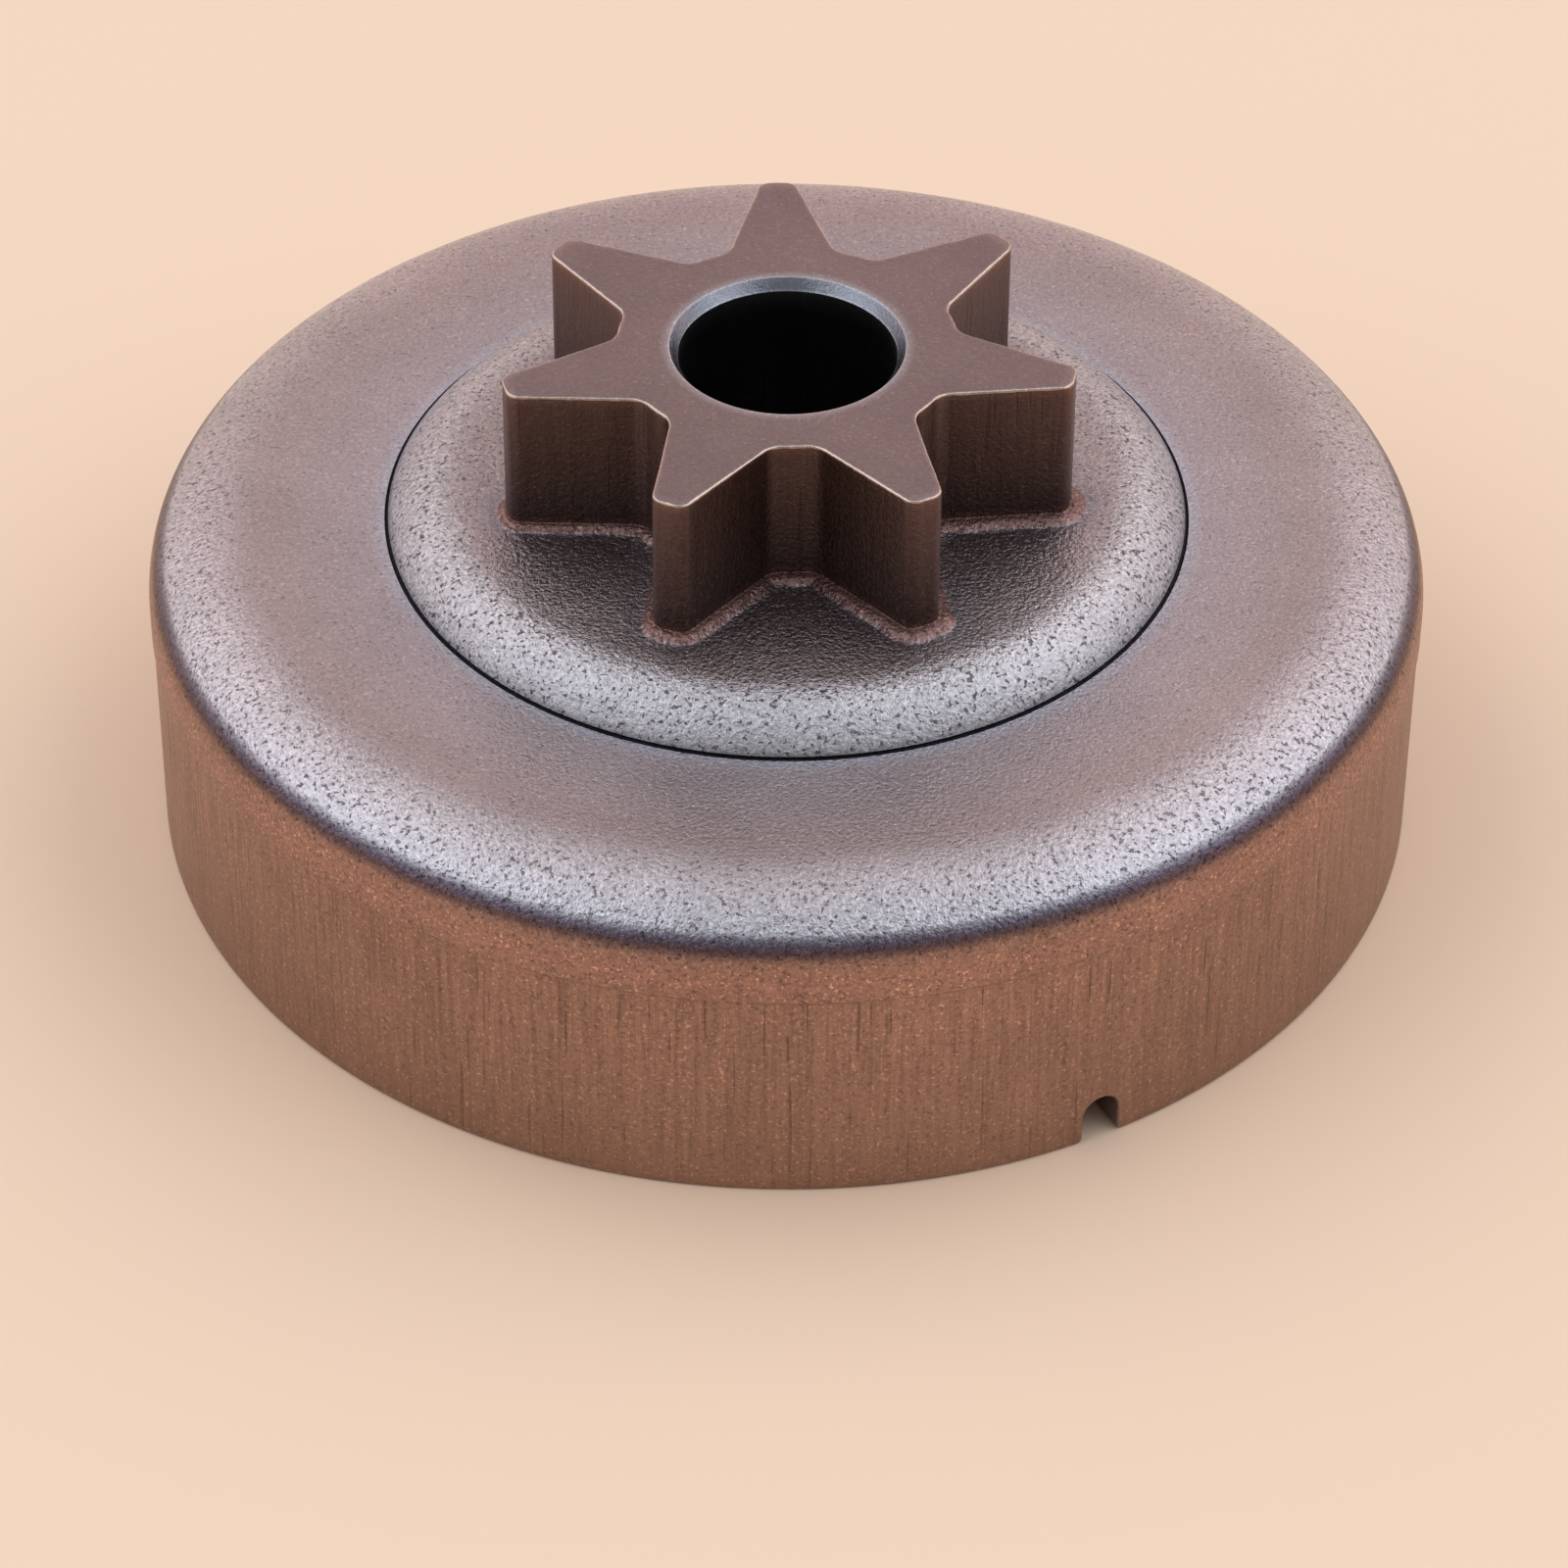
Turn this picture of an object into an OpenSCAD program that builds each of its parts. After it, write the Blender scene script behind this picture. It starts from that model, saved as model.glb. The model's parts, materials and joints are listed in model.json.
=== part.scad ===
// Clutch drum with a spur sprocket, pressed and sintered in one piece.
// The open rim lies on z = 0, the sprocket points up, and one tooth stands near +Y.

/* [Drum] */
// Inside diameter, where the clutch shoes rub
shoe_d = 70; // [62:0.5:80]
// Thickness of the side wall below its upper band
wall_t = 3.5; // [2.5:0.1:6]
// Height of the flat plate above the rim
plate_h = 20.3; // [18:0.1:30]
// Thickness of the plate
plate_t = 3.4; // [2.5:0.1:4.5]
// Radius of the corner between the side wall and the plate
corner_r = 3.2; // [2:0.1:4]
// Radius of the flatter arc that runs from that corner into the plate
crown_r = 8; // [6:0.1:10]
// Angle at which the two arcs meet, from the level
crown_end = 53.13; // [40:0.01:70]
// Radius of the corner between the wall and the floor inside
floor_corner_r = 2.5; // [1:0.1:4]

/* [Band and rim] */
// Height of the band's lower edge above the rim
band_z = 14.4; // [10:0.1:15]
// How far the band stands out from the wall below it
band_step = 0.1; // [0.05:0.01:0.5]
// Width of the bevel on the rim's outer edge
rim_break = 0.3; // [0.1:0.05:0.8]
// Width of the bevel on the rim's inner edge
shoe_lead = 0.6; // [0.2:0.05:1.2]

/* [Dome] */
// Diameter of the dome at its foot
dome_d = 48.2; // [44:0.1:54]
// Height of the dome's flat top above the plate
dome_h = 2.5; // [1.5:0.1:3.5]
// Radius of the arc that rounds the dome's edge
dome_edge_r = 5; // [4:0.1:6]
// Width of the parting groove at the dome's foot
groove_w = 0.3; // [0.15:0.05:0.8]
// Diameter of the recess under the dome
recess_d = 42; // [37:0.5:48]
// Depth of that recess
recess_h = 2.4; // [1:0.1:3]
// Radius of the recess's corner
recess_corner_r = 1.2; // [0.5:0.1:2]

/* [Sprocket] */
// Number of teeth
teeth = 7; // [6:1:8]
// Height of the teeth above the dome
tooth_h = 9.5; // [6:0.1:16]
// Diameter over the tooth tips
tip_d = 34.4; // [32:0.1:38]
// Diameter at the roots between the teeth
root_d = 20.4; // [19:0.1:22]
// Width of a tooth where its flanks reach the tip circle
tooth_w = 2.05; // [1.8:0.05:2.4]
// Slope of each flank to the middle of its tooth
flank_slope = 16.3; // [13:0.1:18]
// Radius of the corners at a tooth's tip
tip_corner_r = 0.85; // [0.4:0.05:1]
// Radius of the corners at a tooth's root
root_corner_r = 1.4; // [0.8:0.05:1.8]
// Turn of the toothing from the +Y axis
tooth_turn = 2.3; // [-25:0.1:25]
// Width of the raised land round the feet of the teeth
land_w = 0.6; // [0.2:0.05:0.7]
// Height of that land above the dome
land_h = 0.35; // [0.15:0.05:0.6]

/* [Bore] */
// Diameter of the bearing bore
bore_d = 13; // [10:0.1:15]
// Width of the bevel at each mouth of the bore
bore_bevel_w = 0.5; // [0.2:0.05:0.9]
// Depth of the bevel at each mouth of the bore
bore_bevel_h = 0.7; // [0.3:0.05:1.2]

/* [Notch] */
// Width of the driver notch in the rim
notch_w = 2.35; // [1.5:0.05:5]
// Height of the notch above the rim
notch_h = 3.05; // [2.6:0.05:8]
// Direction of the notch, from the +X axis
notch_turn = -61.4; // [-180:0.1:180]

/* [Hidden] */
$fn = 128;

// Overshoot of a cutting shape past the face that it cuts
cut = 1;

shoe_r = shoe_d / 2;
wall_r = shoe_r + wall_t;
drum_r = wall_r + band_step;
corner_x = drum_r - corner_r;
crown_x = corner_x - (crown_r - corner_r) * cos(crown_end);
crown_z = plate_h - crown_r;
corner_z = crown_z + (crown_r - corner_r) * sin(crown_end);

floor_z = plate_h - plate_t;
dome_z = plate_h + dome_h;
dome_r = dome_d / 2;
dome_flat_r = dome_r - sqrt(dome_h * (2 * dome_edge_r - dome_h));
recess_z = floor_z + recess_h;
top_z = dome_z + tooth_h;

bore_r = bore_d / 2;
tip_r = tip_d / 2;
root_r = root_d / 2;

// A flank is a straight line at this distance from the axis, square to flank_normal
flank_off = tip_r * sin(flank_slope) + tooth_w / 2 * cos(flank_slope);
flank_normal = [sin(flank_slope), cos(flank_slope)];
flank_way = [cos(flank_slope), -sin(flank_slope)];

// The point at a distance off from the flank's parallel through the axis and r from the axis
function beside_flank(off, r) = off * flank_normal + sqrt(r * r - off * off) * flank_way;

tip_centre = beside_flank(flank_off - tip_corner_r, tip_r - tip_corner_r);
root_centre = beside_flank(flank_off + root_corner_r, root_r + root_corner_r);

function mirrored(p) = [p[0], -p[1]];

// Part of a disc between two directions less than half a turn apart
module sector(r, from, to) {
    middle = (from + to) / 2;
    reach = r / cos((to - from) / 2) * 1.2;
    intersection() {
        circle(r);
        polygon([
            [0, 0],
            reach * [cos(from), sin(from)],
            reach * [cos(middle), sin(middle)],
            reach * [cos(to), sin(to)]
        ]);
    }
}

// Half section of the wall and plate: a straight wall, its band, and two arcs into the plate
module shell_section() {
    polygon([
        [0, 0], [wall_r - rim_break, 0], [wall_r, rim_break],
        [wall_r, band_z - band_step], [drum_r, band_z], [drum_r, corner_z], [0, corner_z]
    ]);
    square([crown_x, plate_h]);
    translate([crown_x, crown_z]) sector(crown_r, crown_end, 90);
    translate([corner_x, corner_z]) sector(corner_r, 0, crown_end);
}

// Half section of the dome: a flat top that an arc brings down to the plate
module dome_section() {
    square([dome_flat_r, dome_z]);
    intersection() {
        translate([dome_flat_r, dome_z - dome_edge_r]) circle(dome_edge_r);
        translate([dome_flat_r, floor_z + cut]) square([dome_edge_r, dome_z - floor_z]);
    }
}

// Half section of a round pocket that is open downwards, with a rounded corner at its top
module pocket_section(r, z, corner) {
    translate([0, -cut]) square([r, z - corner + cut]);
    square([r - corner, z]);
    translate([r - corner, z - corner]) circle(corner);
}

// Half section of the drum, up to its axis
module drum_section() {
    difference() {
        union() {
            shell_section();
            dome_section();
        }
        pocket_section(shoe_r, floor_z, floor_corner_r);
        pocket_section(recess_d / 2, recess_z, recess_corner_r);
        polygon([[shoe_r - cut, -cut], [shoe_r + shoe_lead + cut, -cut], [shoe_r - cut, shoe_lead + cut]]);
        translate([dome_r, plate_h]) circle(groove_w / 2);
    }
}

// One tooth along +X, with its rounded tip and the arcs that lead into the root circle,
// grown all round by the given width
module tooth_outline(grow) {
    flank_top = tip_centre + (tip_corner_r + grow) * flank_normal;
    flank_foot = root_centre - (root_corner_r - grow) * flank_normal;
    polygon([
        [0, 0], flank_foot, flank_top, tip_centre,
        mirrored(tip_centre), mirrored(flank_top), mirrored(flank_foot)
    ]);
    tip_half = atan2(tip_centre[1], tip_centre[0]);
    sector(tip_r + grow, -tip_half, tip_half);
    for (side = [0, 1]) mirror([0, side]) {
        translate(tip_centre) circle(tip_corner_r + grow);
        difference() {
            polygon([[0, 0], root_centre, flank_foot]);
            translate(root_centre) circle(root_corner_r - grow);
        }
    }
}

module toothing(grow) {
    circle(root_r + grow);
    for (i = [0 : teeth - 1]) rotate(90 + tooth_turn + i * 360 / teeth) tooth_outline(grow);
}

// The teeth down to the plate, on the land that the press leaves round their feet
module sprocket() {
    translate([0, 0, plate_h]) {
        linear_extrude(top_z - plate_h) toothing(0);
        linear_extrude(dome_h + land_h) toothing(land_w);
    }
}

// Bearing bore through the sprocket, with a bevel at each mouth
module bore() {
    mouth_r = bore_r + bore_bevel_w * (1 + cut / bore_bevel_h);
    rotate_extrude() polygon([
        [0, recess_z - cut], [mouth_r, recess_z - cut],
        [bore_r, recess_z + bore_bevel_h], [bore_r, top_z - bore_bevel_h],
        [mouth_r, top_z + cut], [0, top_z + cut]
    ]);
}

// Round-topped notch through the rim, for the oil pump's driver
module driver_notch() {
    rotate([0, 0, notch_turn]) translate([shoe_r - cut, 0, 0]) rotate([90, 0, 90])
        linear_extrude(wall_t + band_step + 2 * cut) {
            translate([0, notch_h - notch_w / 2]) circle(notch_w / 2);
            translate([-notch_w / 2, -cut]) square([notch_w, notch_h - notch_w / 2 + cut]);
        }
}

module drum_sprocket() {
    color("#6b5350")
    difference() {
        union() {
            rotate_extrude() drum_section();
            sprocket();
        }
        bore();
        driver_notch();
    }
}

drum_sprocket();
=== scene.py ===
import json
import math

import bpy
import numpy as np
from mathutils import Matrix, Vector, noise


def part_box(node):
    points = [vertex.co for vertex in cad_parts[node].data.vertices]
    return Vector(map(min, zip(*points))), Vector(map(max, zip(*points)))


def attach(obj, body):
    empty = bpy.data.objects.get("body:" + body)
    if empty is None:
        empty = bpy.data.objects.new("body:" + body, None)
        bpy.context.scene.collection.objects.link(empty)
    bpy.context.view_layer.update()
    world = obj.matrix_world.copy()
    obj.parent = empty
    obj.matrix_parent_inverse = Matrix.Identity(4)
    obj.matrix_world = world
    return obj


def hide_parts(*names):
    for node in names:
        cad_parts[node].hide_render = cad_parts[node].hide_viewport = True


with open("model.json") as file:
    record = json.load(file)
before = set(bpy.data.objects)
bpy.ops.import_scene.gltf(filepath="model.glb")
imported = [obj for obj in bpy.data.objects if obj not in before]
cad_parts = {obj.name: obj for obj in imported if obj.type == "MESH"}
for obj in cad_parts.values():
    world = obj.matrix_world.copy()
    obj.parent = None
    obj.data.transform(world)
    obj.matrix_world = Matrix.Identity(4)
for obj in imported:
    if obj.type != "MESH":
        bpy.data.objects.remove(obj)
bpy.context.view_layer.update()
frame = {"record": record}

# Sizes in millimetres, in the part's own frame; those that the frame knows are read from it
MM = 0.001
MOUNTS = {mount["name"]: mount for mount in frame["record"]["mounts"]}
LOW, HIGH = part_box("drum_sprocket")
drum_r = HIGH.x / MM
top_z = HIGH.z / MM
bore_r = MOUNTS["bearing_bore"]["dims"]["r_mm"]
shoe_r = MOUNTS["drum_wall"]["dims"]["r_mm"]

plate_h = 20.3
plate_t = 3.4
corner_r = 3.2
crown_r = 8.0
crown_end = 53.13
floor_corner_r = 2.5
band_z = 14.4
band_step = 0.1
rim_break = 0.3
shoe_lead = 0.6

dome_r = 24.1
dome_h = 2.5
dome_edge_r = 5.0
groove_w = 0.3
recess_r = 21.0
recess_h = 2.4
recess_corner_r = 1.2

teeth = 7
tip_r = 17.2
root_r = 10.2
tooth_w = 2.05
flank_slope = math.radians(16.3)
tip_corner_r = 0.85
root_corner_r = 1.4
tooth_turn = math.radians(92.3)

bore_bevel_w = 0.5
bore_bevel_h = 0.7

notch_w = 2.35
notch_h = 3.05
notch_turn = math.radians(-61.4)

wall_r = drum_r - band_step
corner_x = drum_r - corner_r
crown_x = corner_x - (crown_r - corner_r) * math.cos(math.radians(crown_end))
crown_z = plate_h - crown_r
corner_z = crown_z + (crown_r - corner_r) * math.sin(math.radians(crown_end))
floor_z = plate_h - plate_t
recess_z = floor_z + recess_h
dome_z = plate_h + dome_h
dome_flat_r = dome_r - math.sqrt(dome_h * (2 * dome_edge_r - dome_h))
dome_foot = math.degrees(math.asin((dome_edge_r - dome_h) / dome_edge_r))

# The zones that the section passes, from the bore's lower mouth up, over and round to the inside.
# A point's place in the section is its zone's number plus the share of the zone behind it.
ZONES = [
    "bore", "bevel", "top", "edge", "flank", "land", "flat", "dome",
    "groove", "plate", "crown", "corner", "band", "wall", "rim", "inside",
]

# Columns round the sprocket, of which the drum and the bore keep every second or fourth
HALF_TOOTH = {"tip": 5, "tip_corner": 11, "flank": 20, "root_corner": 12, "root": 8}
FINE = 2 * teeth * sum(HALF_TOOTH.values())
MIDDLE = FINE // 2
COARSE = FINE // 4


def tone(red, green, blue):
    """A colour as it looks on a screen, turned to the linear values that shaders take."""
    values = [value / 255 for value in (red, green, blue)]
    return [v / 12.92 if v <= 0.04045 else ((v + 0.055) / 1.055) ** 2.4 for v in values]


# Outline of the toothing

def half_tooth():
    """Points and outward normals from the middle of a tooth's tip to the middle of the root beside it.
    The tooth lies along +X."""
    normal = np.array([math.sin(flank_slope), math.cos(flank_slope)])
    way = np.array([math.cos(flank_slope), -math.sin(flank_slope)])
    off = tip_r * math.sin(flank_slope) + tooth_w / 2 * math.cos(flank_slope)

    def beside_flank(distance, radius):
        return distance * normal + math.sqrt(radius ** 2 - distance ** 2) * way

    tip_centre = beside_flank(off - tip_corner_r, tip_r - tip_corner_r)
    root_centre = beside_flank(off + root_corner_r, root_r + root_corner_r)
    tip_end = math.atan2(tip_centre[1], tip_centre[0])
    root_end = math.atan2(root_centre[1], root_centre[0])
    normal_turn = math.atan2(normal[1], normal[0])
    points, normals = [], []

    def add_arc(centre, radius, start, end, steps, side):
        for turn in np.linspace(start, end, steps, endpoint=False):
            way_out = np.array([math.cos(turn), math.sin(turn)])
            points.append(centre + radius * way_out)
            normals.append(side * way_out)

    add_arc(np.zeros(2), tip_r, 0, tip_end, HALF_TOOTH["tip"], 1)
    add_arc(tip_centre, tip_corner_r, tip_end, normal_turn, HALF_TOOTH["tip_corner"], 1)
    top = tip_centre + tip_corner_r * normal
    foot = root_centre - root_corner_r * normal
    for share in np.linspace(0, 1, HALF_TOOTH["flank"], endpoint=False):
        points.append(top + share * (foot - top))
        normals.append(normal)
    back = root_end + math.pi
    add_arc(root_centre, root_corner_r, normal_turn + math.pi, back, HALF_TOOTH["root_corner"], -1)
    add_arc(np.zeros(2), root_r, root_end, math.pi / teeth, HALF_TOOTH["root"], 1)
    middle = np.array([math.cos(math.pi / teeth), math.sin(math.pi / teeth)])
    points.append(root_r * middle)
    normals.append(middle)
    return np.array(points), np.array(normals)


def toothing():
    """Points and outward normals round the whole outline, from the root before the first tooth."""
    points, normals = half_tooth()
    mirror = np.array([1, -1])
    one_points = np.vstack([(points * mirror)[:0:-1], points[:-1]])
    one_normals = np.vstack([(normals * mirror)[:0:-1], normals[:-1]])
    all_points, all_normals = [], []
    for index in range(teeth):
        turn = tooth_turn + index * 2 * math.pi / teeth
        spin = np.array([[math.cos(turn), math.sin(turn)], [-math.sin(turn), math.cos(turn)]])
        all_points.append(one_points @ spin)
        all_normals.append(one_normals @ spin)
    return np.vstack(all_points), np.vstack(all_normals)


def waves(points, size, seed):
    """Smooth noise from -1 to 1 at each point, with bumps of about the given size in millimetres."""
    shift = Vector((seed * 17.3, seed * 5.1, seed * 9.7))
    return np.array([noise.noise(Vector(point) / size + shift) for point in points])


# The skin: rings of points, each joined to the next

class Skin:
    def __init__(self):
        self.rings = []
        self.places = []

    def add(self, ring, zone, share):
        """A ring of points at a share of the way through a zone."""
        self.rings.append(ring)
        self.places.append(ZONES.index(zone) + share)

    def circle(self, radius, height, columns, zone, share):
        turns = tooth_turn - math.pi / teeth + np.arange(columns) * 2 * math.pi / columns
        ring = np.stack([radius * np.cos(turns), radius * np.sin(turns), np.full(columns, height)], 1)
        self.add(ring, zone, share)

    def path(self, stations, columns, zone, last=False):
        """Circles at the stations (radius, height), spaced through the zone by their distance."""
        stations = np.array(stations, float)
        steps = np.hypot(*np.diff(stations, axis=0).T)
        shares = np.concatenate([[0], np.cumsum(steps)]) / steps.sum()
        for (radius, height), share in list(zip(stations, shares))[: None if last else -1]:
            self.circle(radius, height, columns, zone, share)

    def faces(self):
        """Faces between neighbouring rings, and each corner's place in the section."""
        starts = np.cumsum([0] + [len(ring) for ring in self.rings])
        faces, corners = [], []
        count = len(self.rings)
        for index in range(count):
            after = (index + 1) % count
            place = self.places[index]
            place_after = self.places[after] if after else len(ZONES)
            first, second = len(self.rings[index]), len(self.rings[after])
            a, b = starts[index], starts[after]
            if first == second:
                j = np.arange(first)
                k = (j + 1) % first
                faces += np.stack([a + j, b + j, b + k, a + k], 1).tolist()
                corners += [place, place_after, place_after, place] * first
            elif first > second:
                j = np.arange(second)
                k = (j + 1) % second
                fan = [a + 2 * j, b + j, b + k, a + 2 * k, a + 2 * j + 1]
                fan[3] = a + (2 * j + 2) % first
                faces += np.stack(fan, 1).tolist()
                corners += [place, place_after, place_after, place, place] * second
            else:
                j = np.arange(first)
                k = (j + 1) % first
                fan = [a + j, b + 2 * j, b + 2 * j + 1, b + (2 * j + 2) % second, a + k]
                faces += np.stack(fan, 1).tolist()
                corners += [place, place_after, place_after, place_after, place] * first
        return faces, corners


def arc(centre_x, centre_z, radius, start, end, steps):
    turns = np.radians(np.linspace(start, end, steps + 1))
    return [(centre_x + radius * math.cos(t), centre_z + radius * math.sin(t)) for t in turns]


def straight(start, end, steps):
    return [tuple(point) for point in np.linspace(start, end, steps + 1)]


edge_round = 0.13
edge_uneven = 0.05
land_h = 0.35
land_w = 0.62
land_lean = 0.22
land_lean_turn = math.radians(-35)
land_grain = 0.07
land_toe = 0.15


def sprocket_rings(skin, outline, normals):
    """The top face, its worn edge, the flanks, the grainy land at their feet and the dome's flat."""
    columns = np.arange(FINE)
    turns = tooth_turn - math.pi / teeth + columns * 2 * math.pi / FINE
    round_way = np.stack([np.cos(turns), np.sin(turns)], 1)
    flat_points = np.column_stack([outline, np.zeros(FINE)])

    def level(points, heights):
        return np.column_stack([points, np.broadcast_to(heights, FINE)])

    worn = edge_round + edge_uneven * waves(flat_points, 0.5, 1) + edge_uneven * waves(flat_points, 2.5, 2)
    worn = np.clip(worn, 0.05, 0.3)[:, None]
    mouth = (bore_r + bore_bevel_w + 0.6) * round_way
    brink = outline - worn * normals
    for share in np.linspace(0, 1, 9, endpoint=False):
        skin.add(level(mouth + share * (brink - mouth), top_z), "top", 0.06 + 0.94 * share)
    for step in range(4):
        turn = math.radians(30 * step)
        inset = worn * (1 - math.sin(turn))
        drop = worn[:, 0] * (1 - math.cos(turn))
        skin.add(level(outline - inset * normals, top_z - drop), "edge", step / 4)
    flank_top = top_z - worn[:, 0]
    flank_foot = dome_z + land_h + 0.06
    for share in np.linspace(0, 1, 15, endpoint=False) ** 1.2:
        height = flank_top + share * (flank_foot - flank_top)
        skin.add(level(outline, height - 0.02 * (share == 0)), "flank", share)

    lean = np.cos(np.arctan2(outline[:, 1], outline[:, 0]) - land_lean_turn)
    width = land_w + land_lean * lean + 0.1 * waves(flat_points, 1.2, 3)
    for share, height in [(0, 1.12), (0.1, 1.0), (0.3, 1.0), (0.6, 0.9), (0.85, 0.6), (1, 0.22)]:
        offset = share * width
        spot = level(outline + offset[:, None] * normals, height * land_h)
        rough = land_grain * waves(spot, 0.33, 4) * min(1, 4 * share)
        grown = outline + (offset + rough)[:, None] * normals
        rise = height * land_h + rough * 0.8
        skin.add(level(grown, dome_z + np.maximum(rise, 0.02)), "land", share * 0.85)
    toe = outline + (width + land_toe)[:, None] * normals
    rim = dome_flat_r * round_way
    for share in np.linspace(0, 1, 9, endpoint=False) ** 1.15:
        skin.add(level(toe + share * (rim - toe), dome_z), "flat", share)


def build_skin():
    outline, normals = toothing()
    skin = Skin()
    mouth_r = bore_r + bore_bevel_w
    skin.path(
        straight((bore_r, recess_z + bore_bevel_h), (bore_r, top_z - bore_bevel_h), 8), COARSE, "bore")
    bevel = straight((bore_r, top_z - bore_bevel_h), (mouth_r, top_z - 0.02), 4)
    skin.path(bevel + [(mouth_r + 0.09, top_z)], COARSE, "bevel")
    skin.circle(mouth_r + 0.09, top_z, COARSE, "top", 0)
    skin.circle(mouth_r + 0.3, top_z, MIDDLE, "top", 0.03)
    sprocket_rings(skin, outline, normals)

    groove_r = groove_w / 2
    dome_end = dome_foot + math.degrees(groove_r / dome_edge_r)
    skin.path(arc(dome_flat_r, dome_z - dome_edge_r, dome_edge_r, 90, dome_end, 12), FINE, "dome")
    skin.path(arc(dome_r, plate_h, groove_r, 90 + dome_foot, 360, 6), FINE, "groove")
    skin.path(straight((dome_r + groove_r, plate_h), (crown_x, plate_h), 8), FINE, "plate")
    skin.path(arc(crown_x, crown_z, crown_r, 90, crown_end, 8), MIDDLE, "crown")
    skin.path(arc(corner_x, corner_z, corner_r, crown_end, 0, 12), MIDDLE, "corner")
    band = straight((drum_r, corner_z), (drum_r, band_z + 0.05), 3)
    skin.path(band + [(wall_r + 0.02, band_z - 0.05), (wall_r, band_z - 0.15)], MIDDLE, "band")
    skin.path(straight((wall_r, band_z - 0.15), (wall_r, rim_break), 20), MIDDLE, "wall")
    rim = [(wall_r, rim_break), (wall_r - 0.09, 0.09), (wall_r - rim_break, 0)]
    rim += straight((wall_r - rim_break, 0), (shoe_r + shoe_lead, 0), 3)[1:]
    skin.path(rim + [(shoe_r, shoe_lead)], MIDDLE, "rim")
    inside = [(shoe_r, shoe_lead + 0.3)]
    inside += straight((shoe_r, 1.5), (shoe_r, floor_z - floor_corner_r), 7)
    inside += arc(shoe_r - floor_corner_r, floor_z - floor_corner_r, floor_corner_r, 0, 90, 6)[1:]
    inside += straight((shoe_r - floor_corner_r, floor_z), (recess_r + 0.15, floor_z), 5)[1:]
    inside += [(recess_r, floor_z + 0.15)]
    inside += arc(recess_r - recess_corner_r, recess_z - recess_corner_r, recess_corner_r, 0, 90, 4)
    inside += straight((recess_r - recess_corner_r, recess_z), (mouth_r, recess_z), 4)[1:]
    skin.path([(shoe_r, shoe_lead)] + inside[:1], MIDDLE, "inside")
    skin.path(inside, COARSE, "inside", last=True)

    faces, corners = skin.faces()
    mesh = bpy.data.meshes.new("drum_skin")
    mesh.from_pydata((np.vstack(skin.rings) * MM).tolist(), [], faces)
    mesh.attributes.new("section", "FLOAT", "CORNER").data.foreach_set("value", corners)
    mesh.validate()
    piece = bpy.data.objects.new("drum_skin", mesh)
    bpy.context.scene.collection.objects.link(piece)
    return piece


# The notch, cut with a tool that flares at both faces of the wall, so that its edges come out worn

def notch_tool():
    half = notch_w / 2
    softened = 0.4
    flare = 0.15
    stations = [
        (shoe_r - 1.5, flare), (shoe_r - 0.1, flare), (shoe_r + 0.14, 0),
        (wall_r - 0.2, 0), (wall_r - 0.07, flare / 4), (wall_r + 0.03, flare), (wall_r + 1, flare),
    ]
    heights = [-1, 0, 0.08, 0.2, softened]
    along = np.array([math.cos(notch_turn), math.sin(notch_turn), 0])
    across = np.array([-math.sin(notch_turn), math.cos(notch_turn), 0])
    rings = []
    for distance, grow in stations:
        outline = []
        for height in heights:
            depth = max(0, softened - max(height, 0))
            outline.append((-half - grow - softened + math.sqrt(softened ** 2 - depth ** 2), height))
        centre_z = notch_h - half
        for turn in np.radians(np.linspace(180, 0, 17)):
            outline.append(((half + grow) * math.cos(turn), centre_z + (half + grow) * math.sin(turn)))
        outline += [(-x, z) for x, z in outline[:len(heights)][::-1]]
        rings.append([distance * along + x * across + np.array([0, 0, z]) for x, z in outline])
    count = len(rings[0])
    faces = [list(range(count)), [len(stations) * count - 1 - i for i in range(count)]]
    for index in range(len(stations) - 1):
        for j in range(count):
            k = (j + 1) % count
            near, far = index * count, (index + 1) * count
            faces.append([near + j, far + j, far + k, near + k])
    mesh = bpy.data.meshes.new("notch_tool")
    mesh.from_pydata((np.vstack(rings) * MM).tolist(), [], faces)
    mesh.validate()
    place = ZONES.index("inside") + 0.1
    mesh.attributes.new("section", "FLOAT", "CORNER").data.foreach_set("value", [place] * len(mesh.loops))
    tool = bpy.data.objects.new("notch_tool", mesh)
    bpy.context.scene.collection.objects.link(tool)
    return tool


def cut_notch(piece):
    tool = notch_tool()
    cut = piece.modifiers.new("notch", "BOOLEAN")
    cut.operation = "DIFFERENCE"
    cut.solver = "MANIFOLD"
    cut.object = tool
    graph = bpy.context.evaluated_depsgraph_get()
    mesh = bpy.data.meshes.new_from_object(piece.evaluated_get(graph))
    piece.modifiers.clear()
    piece.data = mesh
    bpy.data.objects.remove(tool)


# Short calls for building nodes. A value is a number, a colour or another node's output.

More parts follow.
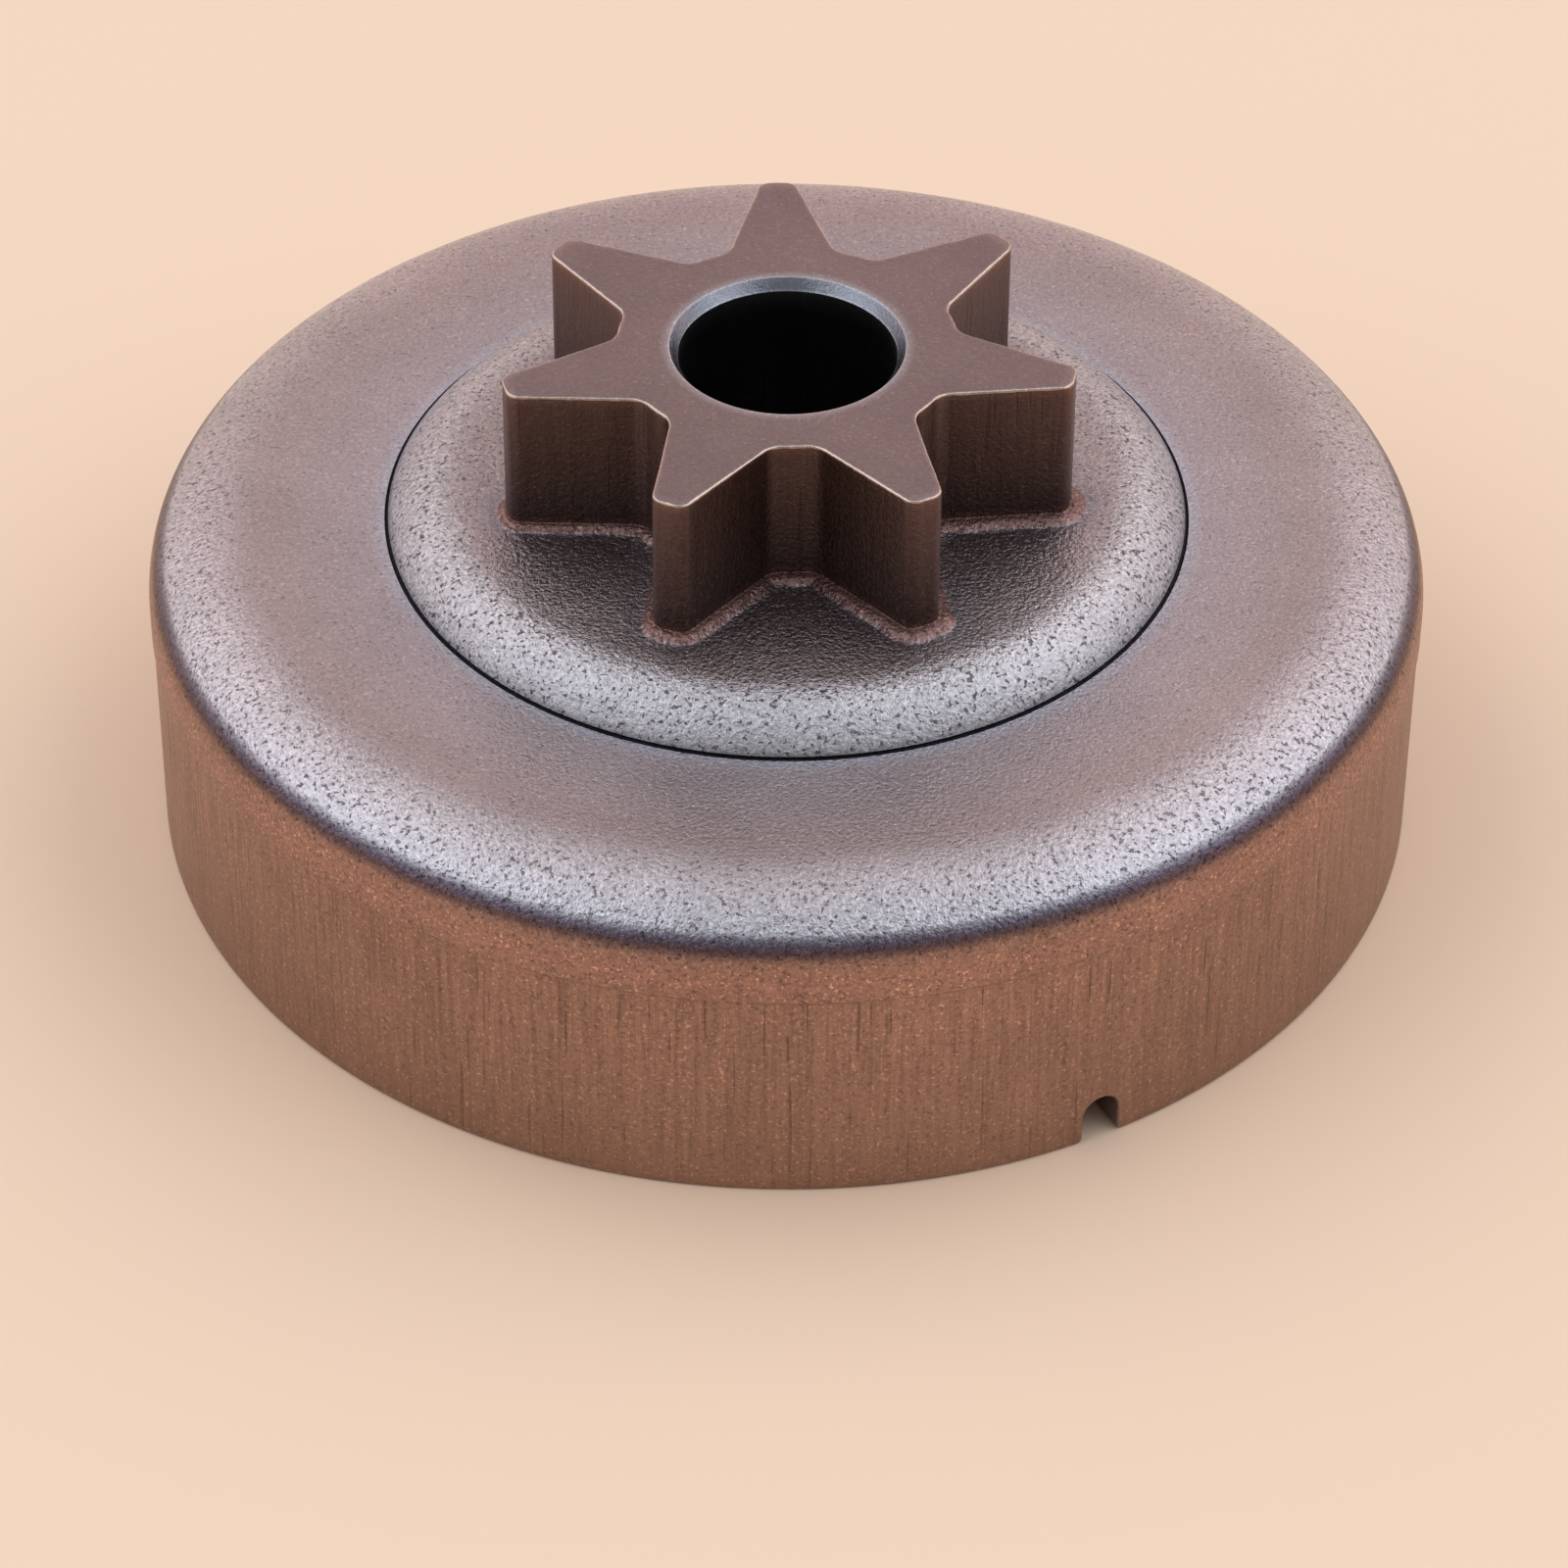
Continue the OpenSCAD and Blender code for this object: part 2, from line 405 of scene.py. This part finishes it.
class Nodes:
    def __init__(self, tree):
        self.tree = tree

    def node(self, kind, inputs, **settings):
        node = self.tree.nodes.new("ShaderNode" + kind)
        for name, value in settings.items():
            setattr(node, name, value)
        for key, value in inputs.items():
            self.feed(node.inputs[key], value)
        return node

    def feed(self, socket, value):
        if isinstance(value, bpy.types.NodeSocket):
            self.tree.links.new(value, socket)
        elif socket.type == "RGBA":
            socket.default_value = (*value[:3], 1)
        else:
            socket.default_value = value

    def maths(self, operation, first, second=0.0):
        return self.node("Math", {0: first, 1: second}, operation=operation).outputs[0]

    def times(self, *values):
        product = values[0]
        for value in values[1:]:
            product = self.maths("MULTIPLY", product, value)
        return product

    def total(self, *values):
        result = values[0]
        for value in values[1:]:
            result = self.maths("ADD", result, value)
        return result

    def vector(self, operation, first, second):
        return self.node("VectorMath", {0: first, 1: second}, operation=operation).outputs[0]

    def smooth(self, value, low, high):
        """0 at low and 1 at high, with a soft step between. Low may be the larger number."""
        inputs = {"Value": value, "From Min": min(low, high), "From Max": max(low, high)}
        inputs["To Min"], inputs["To Max"] = (0.0, 1.0) if low < high else (1.0, 0.0)
        return self.node("MapRange", inputs, interpolation_type="SMOOTHSTEP").outputs[0]

    def spread(self, value, low, high):
        """A value from 0 to 1 turned to one from low to high."""
        return self.node("MapRange", {"Value": value, "To Min": low, "To Max": high}).outputs[0]

    def noise(self, place, size, detail=2.0, roughness=0.5):
        inputs = {"Vector": place, "Scale": 1 / size, "Detail": detail, "Roughness": roughness}
        return self.node("TexNoise", inputs, noise_dimensions="3D").outputs["Fac"]

    def stretched(self, place, stretch):
        return self.vector("MULTIPLY", place, stretch)

    def mix(self, share, first, second, blend="MIX"):
        node = self.node("Mix", {}, data_type="RGBA", blend_type=blend)
        self.feed(node.inputs["Factor"], share)
        colours = [socket for socket in node.inputs if socket.type == "RGBA"]
        self.feed(colours[0], first)
        self.feed(colours[1], second)
        return [socket for socket in node.outputs if socket.type == "RGBA"][0]

    def shaded(self, colour, factor):
        """A colour made darker or lighter by a grey factor."""
        return self.node("VectorMath", {0: colour, "Scale": factor}, operation="SCALE").outputs[0]

    def ramp(self, place, stops):
        """A colour, or a grey value, at each place from 0 to 1, from stops (place, value)."""
        node = self.node("ValToRGB", {"Fac": place})
        elements = node.color_ramp.elements
        while len(elements) < len(stops):
            elements.new(0.5)
        for element, (position, value) in zip(elements, stops):
            element.position = position
        for element, (position, value) in zip(elements, stops):
            element.color = (*value, 1) if isinstance(value, list) else (value, value, value, 1)
        return node.outputs["Color"]


def zone_stops(stops):
    """Stops (zone, share, value) turned to stops along the whole section."""
    return [((ZONES.index(zone) + share) / len(ZONES), value) for zone, share, value in stops]


# Colours along the section: the steel's own tones, with painted sheen, highlights and shade at the stops
# noted below.
TINTS_AND_PAINTED_LIGHT = [
    ("bore", 0.9, tone(96, 92, 94)),
    # The pale lines at both ends of the bevel are worn edges, made paler with painted highlights.
    ("bevel", 0.05, tone(176, 180, 192)),
    ("bevel", 0.15, tone(142, 148, 162)),
    ("bevel", 0.82, tone(150, 154, 168)),
    ("bevel", 0.95, tone(205, 205, 214)),
    ("top", 0.04, tone(148, 130, 132)),
    ("top", 0.95, tone(146, 128, 130)),
    # The rounded top edge is pale partly from wear and partly from a painted highlight.
    ("edge", 0.25, tone(214, 196, 190)),
    ("edge", 0.8, tone(170, 138, 124)),
    # The flanks' dark brown is their own; their darkening toward the foot is painted shade.
    ("flank", 0.05, tone(112, 88, 80)),
    ("flank", 0.95, tone(78, 66, 64)),
    ("land", 0.12, tone(142, 112, 108)),
    ("land", 0.8, tone(138, 110, 108)),
    # The dome's flat is darker next to the teeth: a painted reflection of the dark flanks.
    ("flat", 0.05, tone(150, 142, 150)),
    ("flat", 0.9, tone(176, 164, 168)),
    # The dome's silver is painted sheen: the same steel as the mauve plate, coloured as it looks where lit.
    ("dome", 0.3, tone(192, 190, 198)),
    ("dome", 0.9, tone(184, 184, 194)),
    # The near black in the groove is painted shade.
    ("groove", 0.1, tone(38, 38, 44)),
    ("groove", 0.85, tone(40, 40, 46)),
    # The bluish grey at the plate's inner edge is a painted reflection of the dome's sheen.
    ("plate", 0.0, tone(186, 186, 200)),
    ("plate", 0.12, tone(182, 172, 180)),
    ("plate", 0.9, tone(183, 167, 170)),
    # The silver of the crown and of the corner's top is painted sheen; the dark blue band below it on the
    # corner is painted shade.
    ("crown", 0.6, tone(190, 184, 192)),
    ("corner", 0.05, tone(190, 190, 202)),
    ("corner", 0.16, tone(140, 138, 152)),
    ("corner", 0.28, tone(102, 96, 114)),
    ("corner", 0.45, tone(100, 80, 82)),
    ("corner", 0.64, tone(160, 128, 116)),
    ("band", 0.2, tone(172, 136, 124)),
    ("band", 0.85, tone(164, 132, 118)),
    ("wall", 0.95, tone(160, 130, 116)),
    ("inside", 0.2, tone(136, 122, 116)),
]

ROUGHNESS = [
    ("bore", 0.0, 0.4), ("bevel", 0.3, 0.28), ("top", 0.1, 0.34), ("edge", 0.3, 0.28), ("flank", 0.1, 0.42),
    ("land", 0.3, 0.48), ("flat", 0.2, 0.3), ("dome", 0.2, 0.3), ("groove", 0.2, 0.6), ("plate", 0.1, 0.34),
    ("crown", 0.5, 0.32), ("corner", 0.3, 0.3), ("corner", 0.7, 0.42), ("band", 0.1, 0.48),
    ("wall", 0.1, 0.46), ("rim", 0.2, 0.45), ("inside", 0.3, 0.42),
]

# How strongly each part of the section has the pressed grain, its dark pits, pale flecks and upright marks
GRAIN = [
    ("bore", 0.0, 0.2), ("bevel", 0.5, 0.12), ("top", 0.1, 0.3), ("edge", 0.5, 0.3), ("flank", 0.1, 0.3),
    ("land", 0.3, 1.0), ("flat", 0.3, 0.8), ("dome", 0.2, 1.0), ("dome", 0.9, 1.0), ("plate", 0.1, 0.5),
    ("plate", 0.9, 0.5), ("crown", 0.7, 0.95), ("corner", 0.5, 1.0), ("band", 0.2, 0.9), ("wall", 0.1, 0.6),
    ("rim", 0.3, 0.3), ("inside", 0.5, 0.4),
]
PITS = [
    ("top", 0.1, 0.1), ("flank", 0.1, 0.1), ("land", 0.5, 0.6), ("flat", 0.3, 0.5), ("dome", 0.2, 1.0),
    ("dome", 0.9, 1.0), ("plate", 0.1, 0.35), ("plate", 0.9, 0.35), ("crown", 0.7, 0.9), ("corner", 0.4, 1.0),
    ("corner", 0.8, 0.5), ("band", 0.5, 0.5), ("wall", 0.1, 0.35), ("inside", 0.3, 0.2),
]
FLECKS = [
    ("bore", 0.0, 0.0), ("top", 0.1, 0.35), ("edge", 0.5, 0.0), ("flank", 0.1, 0.15), ("land", 0.3, 1.0),
    ("flat", 0.3, 0.7), ("dome", 0.2, 0.3), ("dome", 0.9, 0.2), ("plate", 0.1, 0.3), ("plate", 0.9, 0.3),
    ("crown", 0.7, 0.2), ("corner", 0.5, 0.3), ("corner", 0.8, 0.9), ("band", 0.5, 1.0), ("wall", 0.1, 0.7),
    ("rim", 0.3, 0.5), ("inside", 0.5, 0.2),
]
MARKS = [
    ("bore", 0.0, 0.6), ("bevel", 0.2, 0.0), ("edge", 0.9, 0.0), ("flank", 0.1, 0.6), ("flank", 0.95, 0.5),
    ("land", 0.1, 0.0), ("corner", 0.9, 0.0), ("band", 0.3, 0.2), ("band", 0.95, 0.45), ("wall", 0.1, 1.0),
    ("rim", 0.1, 0.4), ("inside", 0.1, 0.5), ("inside", 0.35, 0.5), ("inside", 0.5, 0.0),
]

grain_size = 0.26
grain_depth = 0.11
fine_size = 0.11
fine_depth = 0.015
pit_size = 0.3
pit_depth = 0.05
fleck_size = 0.2
mark_size = 0.3
mark_depth = 0.04
score_size = 0.24
score_depth = 0.03
upright = (1.0, 1.0, 0.035)


def sintered_steel():
    material = bpy.data.materials.new("sintered_steel")
    material.use_nodes = True
    nodes = Nodes(material.node_tree)
    shader = material.node_tree.nodes["Principled BSDF"]
    metres = nodes.node("TexCoord", {}).outputs["Object"]
    place = nodes.vector("MULTIPLY", metres, (1 / MM, 1 / MM, 1 / MM))
    section = nodes.node("Attribute", {}, attribute_name="section").outputs["Fac"]
    along = nodes.maths("DIVIDE", section, float(len(ZONES)))

    grain_share = nodes.ramp(along, zone_stops(GRAIN))
    pit_share = nodes.ramp(along, zone_stops(PITS))
    fleck_share = nodes.ramp(along, zone_stops(FLECKS))
    mark_share = nodes.ramp(along, zone_stops(MARKS))

    grain = nodes.noise(place, grain_size, 2.0, 0.6)
    fine = nodes.noise(place, fine_size, 1.0)
    pit = nodes.times(nodes.smooth(nodes.noise(place, pit_size, 2.0, 0.6), 0.42, 0.33), pit_share)
    fleck = nodes.times(nodes.smooth(nodes.noise(place, fleck_size, 1.0, 0.5), 0.62, 0.7), fleck_share)
    standing = nodes.stretched(place, upright)
    marks = nodes.noise(standing, mark_size, 2.0, 0.7)
    scores = nodes.times(nodes.smooth(nodes.noise(standing, score_size, 0.0), 0.27, 0.21), mark_share)

    height = nodes.total(
        nodes.times(grain, grain_depth, grain_share),
        nodes.times(fine, fine_depth),
        nodes.times(pit, -pit_depth),
        nodes.times(marks, mark_depth, mark_share),
        nodes.times(scores, -score_depth),
    )
    bump = nodes.node("Bump", {"Height": height, "Distance": MM, "Strength": 1.0})

    # Zone colours, which hold painted sheen, highlights and shade besides the steel's own tones
    tint = nodes.ramp(along, zone_stops(TINTS_AND_PAINTED_LIGHT))
    mottle = nodes.spread(nodes.noise(place, 7.0, 3.0, 0.6), 0.84, 1.14)
    grain_shade = nodes.total(1.0, nodes.times(nodes.spread(grain, -0.7, 0.7), grain_share))
    mark_shade = nodes.total(1.0, nodes.times(nodes.spread(marks, -0.55, 0.45), mark_share))
    tint = nodes.shaded(tint, nodes.times(mottle, grain_shade, mark_shade))
    tint = nodes.mix(nodes.times(pit, 0.8), tint, tone(52, 50, 56))
    tint = nodes.mix(nodes.times(scores, 0.5), tint, tone(62, 50, 46))
    tint = nodes.mix(nodes.times(fleck, 0.8), tint, nodes.shaded(tint, 2.2))

    rough = nodes.total(nodes.ramp(along, zone_stops(ROUGHNESS)), nodes.spread(grain, -0.06, 0.06))
    nodes.feed(shader.inputs["Base Color"], tint)
    nodes.feed(shader.inputs["Roughness"], rough)
    nodes.feed(shader.inputs["Normal"], bump.outputs[0])
    shader.inputs["Metallic"].default_value = 1.0
    return material


# Camera, floor and light

def camera():
    """The photograph's view: fitted elevation, distance, roll and lens."""
    elevation = math.radians(39.46)
    roll = math.radians(0.352)
    distance = 377.66
    target = Vector((-0.06, 0, -1.351))
    data = bpy.data.cameras.new("camera")
    data.sensor_width = 36
    data.lens = 138.42
    data.clip_start = 0.01
    data.clip_end = 20
    piece = bpy.data.objects.new("camera", data)
    bpy.context.scene.collection.objects.link(piece)
    ahead = Vector((0, math.cos(elevation), -math.sin(elevation)))
    right = Vector((1, 0, 0))
    up = Vector((0, math.sin(elevation), math.cos(elevation)))
    side = math.cos(roll) * right + math.sin(roll) * up
    top = -math.sin(roll) * right + math.cos(roll) * up
    spin = Matrix((side, top, -ahead)).transposed().to_4x4()
    piece.matrix_world = Matrix.Translation((target - distance * ahead) * MM) @ spin
    bpy.context.scene.camera = piece


PAPER = tone(250, 223, 201)


def floor():
    reach = 3
    corners = [(-reach, -reach, 0), (reach, -reach, 0), (reach, reach, 0), (-reach, reach, 0)]
    mesh = bpy.data.meshes.new("floor")
    mesh.from_pydata(corners, [], [(0, 1, 2, 3)])
    piece = bpy.data.objects.new("floor", mesh)
    bpy.context.scene.collection.objects.link(piece)
    paper = bpy.data.materials.new("paper")
    paper.use_nodes = True
    shader = paper.node_tree.nodes["Principled BSDF"]
    shader.inputs["Base Color"].default_value = (*PAPER, 1)
    shader.inputs["Roughness"].default_value = 0.8
    shader.inputs["Specular IOR Level"].default_value = 0.0
    mesh.materials.append(paper)


# Brightness of the studio by the sine of the height above the horizon, from the paper's far end up to
# a bright patch overhead. In front of the part it is dimmer, and behind it the paper sweeps up.
SKY = [
    (0.0, [0.9 * v for v in PAPER]),
    (0.1, [0.85 * v for v in PAPER]),
    (0.2, 0.52),
    (0.6, 0.52),
    (0.9, 0.55),
    (0.97, 0.8),
]
FRONT = 0.28
SWEEP = [0.86, 0.66, 0.6]


def studio():
    world = bpy.data.worlds.new("studio")
    world.use_nodes = True
    bpy.context.scene.world = world
    nodes = Nodes(world.node_tree)
    way = nodes.node("SeparateXYZ", {0: nodes.node("TexCoord", {}).outputs["Generated"]})
    light = nodes.ramp(way.outputs["Z"], SKY)
    up = nodes.times(nodes.smooth(way.outputs["Z"], 0.12, 0.25), nodes.smooth(way.outputs["Z"], 0.95, 0.8))
    front = nodes.times(nodes.smooth(way.outputs["Y"], -0.2, -0.45), up)
    light = nodes.mix(front, light, [FRONT] * 3)
    back = nodes.times(nodes.smooth(way.outputs["Y"], 0.25, 0.5), nodes.smooth(way.outputs["Z"], 0.66, 0.56))
    light = nodes.mix(back, light, SWEEP)
    nodes.feed(world.node_tree.nodes["Background"].inputs["Color"], light)


def softbox(name, place, width, height, radiance):
    """A lamp that faces the part, with a plain radiance on its whole face."""
    data = bpy.data.lights.new(name, "AREA")
    data.shape = "RECTANGLE"
    data.size = width
    data.size_y = height
    data.energy = radiance * math.pi * width * height
    lamp = bpy.data.objects.new(name, data)
    bpy.context.scene.collection.objects.link(lamp)
    lamp.location = place
    lamp.rotation_euler = (-Vector(place)).to_track_quat("-Z", "Y").to_euler()


skin = build_skin()
cut_notch(skin)
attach(skin, "root")
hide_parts("drum_sprocket")
skin.data.materials.clear()
skin.data.materials.append(sintered_steel())
for polygon in skin.data.polygons:
    polygon.use_smooth = True
skin.data.set_sharp_from_angle(angle=math.radians(34))

bpy.context.scene.view_settings.view_transform = "Standard"
camera()
floor()
studio()
softbox("left_box", (-0.69, 0.0, 0.72), 1.7, 0.95, 0.86)
softbox("right_box", (0.67, 0.05, 0.74), 1.7, 0.95, 0.9)
